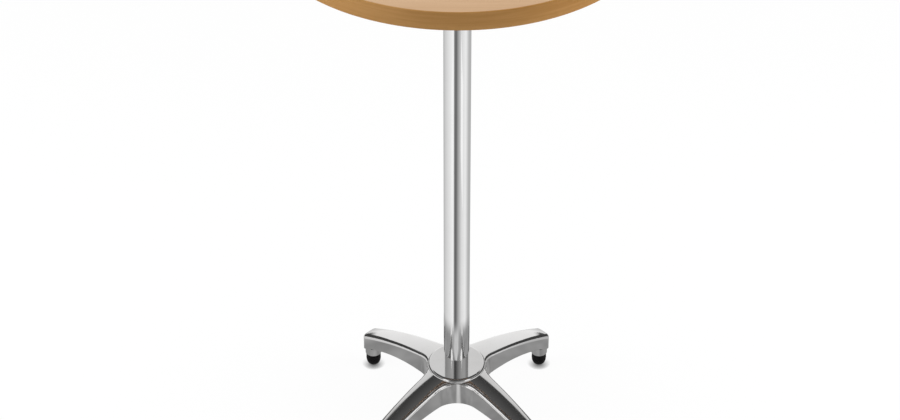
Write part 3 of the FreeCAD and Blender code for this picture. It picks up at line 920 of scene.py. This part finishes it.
@dataclass
class TopSpider(SubAssembly):
    """Cast spider under the top, with its wood screws.

    Attributes:
        screw_reaches: Distance of the screws from the column's axis.
        screw_length: Length of a screw with its head.
        shank_radius: Radius of the shank.
        shank_share: Share of the screw's length before the thread.
        head_radius: Radius of the countersunk head.
        head_height: Height of the head.
        head_rim: Height and width of the bevel at the head's rim.
        point_length: Length of the point.
        recess_span: Length of each arm of the cross recess.
        recess_width: Width of each arm of the cross recess.
        recess_depth: Depth of the cross recess.
        recess_taper: Size of the recess at its end, as a share.
        thread_depth: Depth of the wood thread.
        thread_pitch: Rise of the wood thread in one turn.
        thread_turns: Turns of the wood thread.
        thread_sink: How far the ridge is sunk into the core.
        turn_steps: Steps of the screw's turned body.
        stop_by_arm: Turn from one screw to the next at which it was driven home, in radians.
        stop_by_reach: The same for each metre outwards.
    """

    screw_reaches: Span = (0.096, 0.160)
    screw_length: float = 0.025
    shank_radius: float = 0.00225
    shank_share: float = 0.4
    head_radius: float = 0.0045
    head_height: float = 0.0027
    head_rim: float = 0.0002
    point_length: float = 0.005
    recess_span: float = 0.0050
    recess_width: float = 0.00095
    recess_depth: float = 0.0019
    recess_taper: float = 0.45
    thread_depth: float = 0.0006
    thread_pitch: float = 0.0018
    thread_turns: int = 8
    thread_sink: float = 0.0001
    turn_steps: int = 32
    stop_by_arm: float = 2.3
    stop_by_reach: float = 40.0

    def build(self) -> list[Piece]:
        """Dress the casting, drive the screws into it, and give both back."""
        return [self.dress_node("top_spider", Finishes.CAST), self.screws()]

    def recess_cutter(self) -> Piece:
        """Cross-shaped punch for the recess, narrower at its end.

        Returns:
            The punch, pointing upwards from the origin.
        """
        blades = []
        for angle in (0.0, math.pi / 2):
            blade = Workbench.start("recess_blade", bpy.ops.mesh.primitive_cube_add, size=1.0)
            blade.scale = (self.recess_span, self.recess_width, 2 * self.recess_depth)
            blade.rotation_euler = (0.0, 0.0, angle)
            bpy.ops.object.transform_apply(location=False, rotation=True, scale=True)
            for corner in blade.data.vertices:
                corner.select = corner.co.z > 0.0
            bpy.ops.object.mode_set(mode="EDIT")
            bpy.ops.transform.resize(value=(self.recess_taper, self.recess_taper, 1.0))
            bpy.ops.object.mode_set(mode="OBJECT")
            blades.append(blade)
        return Workbench.join(*blades)

    def screw(self) -> Piece:
        """One screw with its head at the origin and its point upwards.

        Returns:
            The screw.
        """
        core = self.shank_radius - self.thread_depth
        shank_end = self.shank_share * self.screw_length
        profile = [(0.0, 0.0), (self.head_radius - self.head_rim, 0.0),
                   (self.head_radius, self.head_rim), (self.shank_radius, self.head_height),
                   (self.shank_radius, shank_end), (core, shank_end + self.thread_depth),
                   (core, self.screw_length - self.point_length), (0.0, self.screw_length)]
        body = Workbench.turn("screw_pattern", profile, self.turn_steps)
        punch = self.recess_cutter()
        Workbench.take(body)
        recess = body.modifiers.new("recess", "BOOLEAN")
        recess.object = punch
        recess.use_self = True
        bpy.ops.object.modifier_apply(modifier=recess.name)
        Workbench.put_away(punch)
        start = self.screw_length - self.point_length - self.thread_pitch * self.thread_turns
        ridge = Workbench.thread("screw_thread", core - self.thread_sink, self.shank_radius,
                                 self.thread_pitch, start, self.thread_turns)
        return Workbench.join(body, ridge)

    def screws(self) -> Piece:
        """All the screws as one set, each under its own arm of the spider.

        Returns:
            The set of screws.
        """
        pattern = self.screw()
        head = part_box("spider_screws")[0].z
        driven = []
        for reach in self.screw_reaches:
            for number, name in enumerate(ARMS):
                angle = math.radians(FIRST_ARM_ANGLE + 360.0 / len(ARMS) * number)
                place = Vector((reach * math.cos(angle), reach * math.sin(angle), head))
                stop = self.stop_by_arm * number + self.stop_by_reach * reach
                driven.append(Workbench.copy_to(pattern, "screw_" + name, place, stop))
        Workbench.put_away(pattern)
        whole = Workbench.join(*driven)
        whole.name = "driven_spider_screws"
        Workbench.smooth(whole)
        return self.stand_for(whole, "spider_screws", "table", Finishes.ZINC)


@dataclass
class Column(SubAssembly):
    """Bright tube and the long rod that clamps spider, tube and base together.

    Attributes:
        thread_length: Length of the thread at each end of the rod.
        thread_pitch: Rise of the thread in one turn.
        thread_depth: Depth of the thread.
        thread_sink: How far the ridge is sunk into the rod.
        chamfer: Bevel at the rod's ends.
        turn_steps: Steps of the turned rod.
    """

    SMALL_PIECES: ClassVar[tuple[str, ...]] = (
        "rod_top_washer", "rod_top_nut", "rod_plate_washer", "rod_spring_washer", "rod_bottom_nut")

    thread_length: float = 0.045
    thread_pitch: float = 0.0015
    thread_depth: float = 0.0008
    thread_sink: float = 0.0002
    chamfer: float = 0.001
    turn_steps: int = 40

    def build(self) -> list[Piece]:
        """Dress the tube, nuts and washers, cut the rod's threads, and give all of them back."""
        small = [self.dress_node(name, Finishes.ZINC) for name in self.SMALL_PIECES]
        return [self.dress_node("column_tube", Finishes.TUBE), *small, self.rod()]

    def rod(self) -> Piece:
        """Rod with a thread at both ends.

        Returns:
            The rod.
        """
        low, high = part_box("tie_rod")
        crest = (high.x - low.x) / 2
        root = crest - self.thread_depth
        blank = crest - self.thread_depth / 2
        bevel = self.chamfer / 2
        turns = int(self.thread_length / self.thread_pitch)
        low_end, high_end = low.z + self.thread_length, high.z - self.thread_length
        profile = [(0.0, low.z), (root - bevel, low.z), (root, low.z + bevel), (root, low_end),
                   (blank, low_end + self.chamfer), (blank, high_end - self.chamfer),
                   (root, high_end), (root, high.z - bevel), (root - bevel, high.z), (0.0, high.z)]
        shaft = Workbench.turn("threaded_tie_rod", profile, self.turn_steps)
        starts = (low.z + bevel, high.z - bevel - turns * self.thread_pitch)
        ridges = [Workbench.thread("rod_thread", root - self.thread_sink, crest,
                                   self.thread_pitch, start, turns) for start in starts]
        rod = Workbench.join(shaft, *ridges)
        Workbench.smooth(rod)
        return self.stand_for(rod, "tie_rod", "table", Finishes.ZINC)


@dataclass
class StarBase(SubAssembly):
    """One-piece cast star, polished outside and left as cast in its hollow underside, which is
    darkened with painted shade.
    """

    def build(self) -> list[Piece]:
        """Dress the casting and give it back."""
        return [self.dress_node("base_casting", Finishes.POLISHED)]


@dataclass
class LevellingFoot(SubAssembly):
    """One levelling foot: threaded stud and black pad.

    Attributes:
        arm: Name of the arm that it screws into.
        stud_pattern: Stud to copy, at the origin.
        pad_pattern: Pad to copy, at the origin.
    """

    arm: str
    stud_pattern: Piece
    pad_pattern: Piece

    def build(self) -> list[Piece]:
        """Copy the foot's pieces to its arm.

        Returns:
            The finished pieces.
        """
        low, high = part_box("foot_stud_" + self.arm)
        place = Vector(((low.x + high.x) / 2, (low.y + high.y) / 2, 0.0))
        angle = math.atan2(place.y, place.x)
        stud = Workbench.copy_to(self.stud_pattern, "threaded_stud_" + self.arm, place, angle)
        pad = Workbench.copy_to(self.pad_pattern, "moulded_pad_" + self.arm, place, angle)
        return [self.stand_for(stud, "foot_stud_" + self.arm, self.arm + "_stud", Finishes.ZINC),
                self.stand_for(pad, "foot_pad_" + self.arm, self.arm + "_pad", Finishes.RUBBER)]


@dataclass
class FootPatterns:
    """Stud and pad of the levelling feet, modelled once at the origin.

    Attributes:
        stud_radius: Radius over the stud's thread.
        stud_top: Height of the stud's end.
        stud_steps: Steps of the turned stud.
        thread_pitch: Rise of its thread in one turn.
        thread_depth: Depth of its thread.
        thread_sink: How far the ridge is sunk into the stud.
        head_radius: Radius of the head inside the pad.
        head_bottom: Height of the head's underside.
        head_top: Height of the head's upper side.
        pad_radius: Largest radius of the pad.
        pad_flat: Radius of the flat that it stands on.
        pad_waist: Height where the bowl turns into the skirt.
        pad_top: Height of the pad.
        pad_chamfer: Bevel of its upper rim.
        pad_steps: Steps of the turned pad.
        pad_crease: Angle in degrees from which an edge of the pad stays sharp.
        seam_rise: How far the moulding seam stands out.
        groove: Depth and half width of the ring groove under the rim.
        clearance: Gap round the stud and its head.
        bowl_steps: Steps of the bowl's curve.
    """

    stud_radius: float = 0.004
    stud_top: float = 0.056
    stud_steps: int = 40
    thread_pitch: float = 0.00125
    thread_depth: float = 0.0007
    thread_sink: float = 0.0002
    head_radius: float = 0.0085
    head_bottom: float = 0.0065
    head_top: float = 0.0105
    pad_radius: float = 0.0135
    pad_flat: float = 0.006
    pad_waist: float = 0.0136
    pad_top: float = 0.0251
    pad_chamfer: float = 0.001
    pad_steps: int = 72
    pad_crease: float = 40.0
    seam_rise: float = 0.0002
    groove: float = 0.0005
    clearance: float = 0.00005
    bowl_steps: int = 14

    def stud(self) -> Piece:
        """Stud with its head and thread.

        Returns:
            The stud.
        """
        root = self.stud_radius - self.thread_depth
        thread_end = self.stud_top - self.thread_depth
        profile = [(0.0, self.head_bottom), (self.head_radius, self.head_bottom),
                   (self.head_radius, self.head_top), (root, self.head_top), (root, thread_end),
                   (root - self.thread_depth, self.stud_top), (0.0, self.stud_top)]
        shaft = Workbench.turn("stud_pattern", profile, self.stud_steps)
        turns = int((thread_end - self.head_top) / self.thread_pitch)
        ridge = Workbench.thread("stud_thread", root - self.thread_sink, self.stud_radius,
                                 self.thread_pitch, self.head_top, turns)
        stud = Workbench.join(shaft, ridge)
        Workbench.smooth(stud)
        return stud

    def pad(self) -> Piece:
        """Bowl-shaped pad with a moulding seam, a ring groove and the room for the stud's head.

        Returns:
            The pad.
        """
        skirt = self.pad_radius - self.seam_rise
        bowl = []
        for step in range(self.bowl_steps + 1):
            angle = math.pi / 2 * step / self.bowl_steps
            bowl.append((self.pad_flat + (skirt - self.pad_flat) * math.sin(angle),
                         self.pad_waist * (1.0 - math.cos(angle))))
        ring = self.pad_top - self.pad_chamfer - 3 * self.groove
        seam = self.pad_waist + self.seam_rise
        hole, room = self.stud_radius + self.clearance, self.head_radius + self.clearance
        roof, floor = self.head_top + self.clearance, self.head_bottom - self.clearance
        profile = [(0.0, 0.0), *bowl, (self.pad_radius, seam),
                   (self.pad_radius, seam + self.seam_rise), (skirt, seam + 2 * self.seam_rise),
                   (skirt, ring - self.groove), (skirt - self.groove, ring),
                   (skirt, ring + self.groove), (skirt, self.pad_top - self.pad_chamfer),
                   (skirt - self.pad_chamfer, self.pad_top), (hole, self.pad_top),
                   (hole, roof), (room, roof), (room, floor), (0.0, floor)]
        pad = Workbench.turn("pad_pattern", profile, self.pad_steps)
        Workbench.smooth(pad, self.pad_crease)
        return pad


@dataclass(frozen=True)
class Softbox:
    """Square softbox that lights the table and isn't mirrored by the metal.

    Attributes:
        name: Name of the lamp.
        place: Where it hangs.
        target: The point that it faces.
        side: Its side in metres.
        power: Its power in watts.
    """

    name: str
    place: Point
    target: Point
    side: float
    power: float

    def hang(self) -> None:
        """Add the lamp to the scene."""
        data = bpy.data.lights.new(self.name, "AREA")
        data.size = self.side
        data.energy = self.power
        lamp = bpy.data.objects.new(self.name, data)
        lamp.location = self.place
        beam = Vector(self.target) - Vector(self.place)
        lamp.rotation_euler = beam.to_track_quat("-Z", "Y").to_euler()
        lamp.visible_glossy = False
        lamp.visible_camera = False
        bpy.context.scene.collection.objects.link(lamp)


@dataclass
class Studio:
    """White studio: floor, backdrop, softboxes, camera, and cards that only the metal mirrors.

    Angles are in degrees. A bearing is 0 to the front, where the camera is, and positive to the
    camera's right.

    Attributes:
        floor_size: Side of the floor.
        floor_colour: Its colour.
        floor_roughness: Its roughness.
        floor_specular: Its specular level.
        floor_glow: Share of the floor that shows as plain white.
        contact_reach: How far round a foot the floor is darkened.
        contact_side: Direction from which that shade is lit.
        contact_power: How fast it darkens.
        card_radius: Radius of the card.
        card_height: Height of the card above the floor.
        card_corners: Corners of its outline.
        shade_rim: Radii between which the base's own shade on the card ends.
        shade_middle: Bearing of the middle of that shade.
        shade_radii: Radii between which its light lobe widens.
        shade_widths: Half width of the lobe at those radii.
        shade_edge: Shares of the half width between which the lobe darkens.
        shade_tones: Tone of the lobe and of the rest of the shade.
        cloud_scale: Fineness of the clouds in the shade.
        cloud_depth: How strong they are.
        reflector_at: Place of the right-hand reflector.
        reflector_size: Its width and height.
        reflector_tone: How bright it is.
        wall_tones: Tone of the lit back wall at its foot and at its top.
        wall_foot: Elevation of its foot.
        wall_lean: How much wider it gets for each degree upwards.
        wall_edge: Bearings from the rear between which it ends, at the horizon.
        low_sides: Bearings from the rear between which the low room changes tone.
        low_tones: Its tones there.
        high_start: Elevations between which the low room gives way to the high one.
        high_share: Tone of the high room, as a share of the card's.
        ceiling_start: Elevation where the lit backdrop ends and the dark ceiling starts.
        ceiling_edge: How far before and after that it fades.
        ceiling_top: Elevation where the ceiling is lightest.
        ceiling_tones: Tones of the ceiling at its edge and there.
        fill: Level of the backdrop as a light on the table.
        lens: Focal length in millimetres.
        sensor: Width of the sensor in millimetres.
        sight: How far the camera sees.
        camera_at: Place of the camera.
        camera_pitch: How far the camera looks down.
    """

    # Painted reflection of the floor for the metal, by bearing, darkest towards the camera.
    CARD_TONES: ClassVar[tuple[Span, ...]] = (
        (-180.0, 0.95), (-165.0, 0.92), (-157.0, 0.46), (-110.0, 0.68), (-36.0, 0.97),
        (-29.0, 0.95), (-24.0, 0.28), (-10.0, 0.12), (15.0, 0.47), (40.0, 0.80),
        (75.0, 0.93), (110.0, 0.50), (157.0, 0.46), (165.0, 0.92))
    SOFTBOXES: ClassVar[tuple[Softbox, ...]] = (
        Softbox("overhead", (0.0, 0.4, 3.4), (0.0, 0.0, 1.0), 2.4, 29.0),
        Softbox("left", (-2.6, -0.3, 1.6), (0.0, 0.0, 0.8), 2.0, 50.0),
        Softbox("right", (2.6, -0.3, 1.6), (0.0, 0.0, 0.8), 2.0, 56.0))
    HIDDEN_FROM: ClassVar[tuple[str, ...]] = (
        "camera", "diffuse", "transmission", "volume_scatter", "shadow")

    floor_size: float = 40.0
    floor_colour: Colour = (0.96, 0.96, 0.96)
    floor_roughness: float = 0.9
    floor_specular: float = 0.1
    floor_glow: float = 0.93
    contact_reach: float = 0.012
    contact_side: Point = (0.0, 0.9, 0.45)
    contact_power: float = 1.5
    card_radius: float = 28.0
    card_height: float = 0.0008
    card_corners: int = 96
    shade_rim: Span = (0.265, 0.315)
    shade_middle: float = -4.0
    shade_radii: Span = (0.19, 0.24)
    shade_widths: Span = (7.0, 38.0)
    shade_edge: Span = (0.2, 1.0)
    shade_tones: Span = (0.60, 0.29)
    cloud_scale: float = 16.0
    cloud_depth: float = 0.35
    reflector_at: Point = (0.30, -0.40, 0.335)
    reflector_size: Span = (0.26, 0.29)
    reflector_tone: float = 1.0
    wall_tones: Span = (0.93, 0.64)
    wall_foot: float = -5.0
    wall_lean: float = 0.9
    wall_edge: Span = (14.0, 17.0)
    low_sides: Span = (95.0, 135.0)
    low_tones: Span = (0.05, 0.2)
    high_start: Span = (24.0, 34.0)
    high_share: float = 0.42
    ceiling_start: float = 48.5
    ceiling_edge: Span = (-0.8, 1.2)
    ceiling_top: float = 88.0
    ceiling_tones: Span = (0.045, 0.13)
    fill: float = 0.42
    lens: float = 86.83
    sensor: float = 36.0
    sight: float = 200.0
    camera_at: Point = (-0.0116, -2.8856, 2.6776)
    camera_pitch: float = 37.381

    def build(self) -> None:
        """Set up everything round the table."""
        self.place_camera()
        self.lay_floor()
        self.lay_card()
        self.stand_reflectors()
        self.hang_backdrop()
        for softbox in self.SOFTBOXES:
            softbox.hang()
        bpy.context.scene.view_settings.view_transform = "Standard"

    def place_camera(self) -> None:
        """Camera at the photograph's angle."""
        data = bpy.data.cameras.new("camera")
        data.lens = self.lens
        data.sensor_width = self.sensor
        data.clip_end = self.sight
        camera = bpy.data.objects.new("camera", data)
        camera.location = self.camera_at
        camera.rotation_euler = (math.radians(90.0 - self.camera_pitch), 0.0, 0.0)
        bpy.context.scene.collection.objects.link(camera)
        bpy.context.scene.camera = camera

    def lay_floor(self) -> None:
        """Plain white floor that keeps the table's shadow."""
        floor = Workbench.start("floor", bpy.ops.mesh.primitive_plane_add, size=self.floor_size)
        material = bpy.data.materials.new("floor")
        sheet = Surface(material)
        sheet.put("Base Color", (*self.floor_colour, 1.0))
        sheet.put("Roughness", self.floor_roughness)
        sheet.put("Specular IOR Level", self.floor_specular)
        path = sheet.node("LightPath").outputs
        seen = sheet.most(path["Is Camera Ray"], path["Is Glossy Ray"])
        seen = sheet.most(seen, path["Is Transmission Ray"])
        open_sky = sheet.node("AmbientOcclusion")
        open_sky.inputs["Distance"].default_value = self.contact_reach
        side = sheet.node("CombineXYZ", *self.contact_side)
        sheet.feed(open_sky.inputs["Normal"], side.outputs[0])
        white = sheet.node("Emission")
        contact = sheet.math("POWER", open_sky.outputs["AO"], self.contact_power)
        sheet.feed(white.inputs["Strength"], contact)
        mixed = sheet.node("MixShader", sheet.times(seen, self.floor_glow),
                           sheet.shader.outputs[0], white.outputs[0])
        output = next(node for node in sheet.tree.nodes if node.type == "OUTPUT_MATERIAL")
        sheet.feed(output.inputs["Surface"], mixed.outputs[0])
        floor.data.materials.append(material)

    def glowing(self, name: str) -> tuple[bpy.types.Material, NodeSheet, Socket]:
        """Start a material that only gives off light.

        Args:
            name: Name of the material.

        Returns:
            The material, its nodes and the input for its tone.
        """
        material = bpy.data.materials.new(name)
        material.use_nodes = True
        material.node_tree.nodes.clear()
        sheet = NodeSheet(material.node_tree)
        glow = sheet.node("Emission")
        sheet.node("OutputMaterial", glow.outputs[0])
        return material, sheet, glow.inputs["Strength"]

    def show_to_metal_only(self, card: Piece) -> None:
        """Hide a card from every ray but mirrored ones, so that it lights nothing and shows only in
        mirrored rays.

        Args:
            card: The card.
        """
        for ray in self.HIDDEN_FROM:
            setattr(card, "visible_" + ray, False)

    def lay_card(self) -> None:
        """Shaded card on the floor that only the metal mirrors, darkest towards the camera."""
        card = Workbench.start("mirror_card", bpy.ops.mesh.primitive_circle_add,
                               vertices=self.card_corners, radius=self.card_radius,
                               fill_type="NGON", location=(0.0, 0.0, self.card_height))
        self.show_to_metal_only(card)
        material, sheet, tone = self.glowing("mirror_card")
        place = sheet.object_place()
        parts = sheet.parts(place)
        bearing, radius = sheet.math("DEGREES", sheet.bearing(parts)), sheet.radius(parts)
        off_middle = sheet.math("ABSOLUTE", sheet.minus(bearing, self.shade_middle))
        half_width = sheet.span(radius, self.shade_radii, self.shade_widths)
        share = sheet.math("DIVIDE", off_middle, half_width)
        cloud = sheet.minus(sheet.noise(place, self.cloud_scale, 2.0), 0.5)
        shade = sheet.span(share, self.shade_edge, self.shade_tones)
        shade = sheet.plus(shade, sheet.times(cloud, self.cloud_depth))
        open_part = self.card_tone(sheet, bearing)
        sheet.feed(tone, sheet.mix(sheet.span(radius, self.shade_rim), shade, open_part))
        card.data.materials.append(material)

    def card_tone(self, sheet: NodeSheet, bearing: Socket) -> Socket:
        """Tone of the open part of the card.

        Args:
            sheet: The nodes to add it to.
            bearing: Direction from the column.

        Returns:
            The tone.
        """
        share = sheet.plus(sheet.math("DIVIDE", bearing, 360.0), 0.5)
        ramp = sheet.node("ValToRGB", share)
        stops = ramp.color_ramp.elements
        stops.remove(stops[-1])
        for index, (angle, tone) in enumerate(self.CARD_TONES):
            place = 0.5 + angle / 360.0
            stop = stops[0] if index == 0 else stops.new(place)
            stop.position = place
            stop.color = (tone, tone, tone, 1.0)
        return ramp.outputs[0]

    def stand_reflectors(self) -> None:
        """Two upright white reflectors in front, which edge the front arms with light."""
        material, sheet, tone = self.glowing("reflector")
        sheet.feed(tone, self.reflector_tone)
        out, front, height = self.reflector_at
        for name, side in (("reflector_left", -1.0), ("reflector_right", 1.0)):
            reflector = Workbench.start(name, bpy.ops.mesh.primitive_plane_add, size=1.0,
                                        location=(side * out, front, height),
                                        rotation=(math.pi / 2, 0.0, math.pi / 2))
            reflector.scale = (*self.reflector_size, 1.0)
            reflector.data.materials.append(material)
            self.show_to_metal_only(reflector)

    def mirrored_room(self, sheet: NodeSheet) -> Socket:
        """What the metal mirrors of the room: a lit back wall, dark low sides and a dark ceiling.

        Args:
            sheet: The world's nodes.

        Returns:
            The level in each direction.
        """
        parts = sheet.parts(sheet.node("TexCoord").outputs["Generated"])
        elevation = sheet.math("DEGREES", sheet.math("ARCSINE", parts[2]))
        bearing = sheet.math("DEGREES", sheet.bearing(parts))
        away = sheet.math("DEGREES", sheet.math("ARCTAN2", parts[0], parts[1]))
        away = sheet.math("ABSOLUTE", away)
        wall = sheet.span(elevation, (self.wall_foot, self.ceiling_start), self.wall_tones,
                          smooth=False)
        outside = sheet.minus(away, sheet.times(elevation, self.wall_lean))
        wall = sheet.times(wall, sheet.span(outside, self.wall_edge, (1.0, 0.0)))
        low = sheet.span(away, self.low_sides, self.low_tones)
        high = sheet.times(self.card_tone(sheet, bearing), self.high_share)
        lit = sheet.most(wall, sheet.mix(sheet.span(elevation, self.high_start), low, high))
        edge = tuple(self.ceiling_start + offset for offset in self.ceiling_edge)
        ceiling = sheet.span(elevation, (self.ceiling_start, self.ceiling_top), self.ceiling_tones)
        return sheet.mix(sheet.span(elevation, edge), lit, ceiling)

    def hang_backdrop(self) -> None:
        """White for the camera, the mirrored room for the metal, and a soft fill for all else."""
        world = bpy.data.worlds.new("studio")
        world.use_nodes = True
        bpy.context.scene.world = world
        world.node_tree.nodes.clear()
        sheet = NodeSheet(world.node_tree)
        path = sheet.node("LightPath").outputs
        shown = sheet.most(path["Is Camera Ray"], path["Is Transmission Ray"])
        level = sheet.plus(shown, sheet.times(path["Is Glossy Ray"], self.mirrored_room(sheet)))
        plain = sheet.minus(1.0, sheet.most(shown, path["Is Glossy Ray"]))
        level = sheet.plus(level, sheet.times(plain, self.fill))
        backdrop = sheet.node("Background", (1.0, 1.0, 1.0, 1.0), level)
        sheet.node("OutputWorld", backdrop.outputs[0])


def main() -> None:
    """Build the table sub-assembly by sub-assembly, report each piece, and set up the studio."""
    logging.basicConfig(level=logging.INFO, format="%(message)s")
    patterns = FootPatterns()
    stud, pad = patterns.stud(), patterns.pad()
    feet = [LevellingFoot(arm, stud, pad) for arm in ARMS]
    for assembly in (TableTop(), TopSpider(), Column(), StarBase(), *feet):
        for piece in assembly.build():
            LOG.info("%s: %s, %d faces", type(assembly).__name__, piece.name,
                     len(piece.data.polygons))
    Workbench.put_away(stud)
    Workbench.put_away(pad)
    Studio().build()


if __name__ == "__main__":
    main()
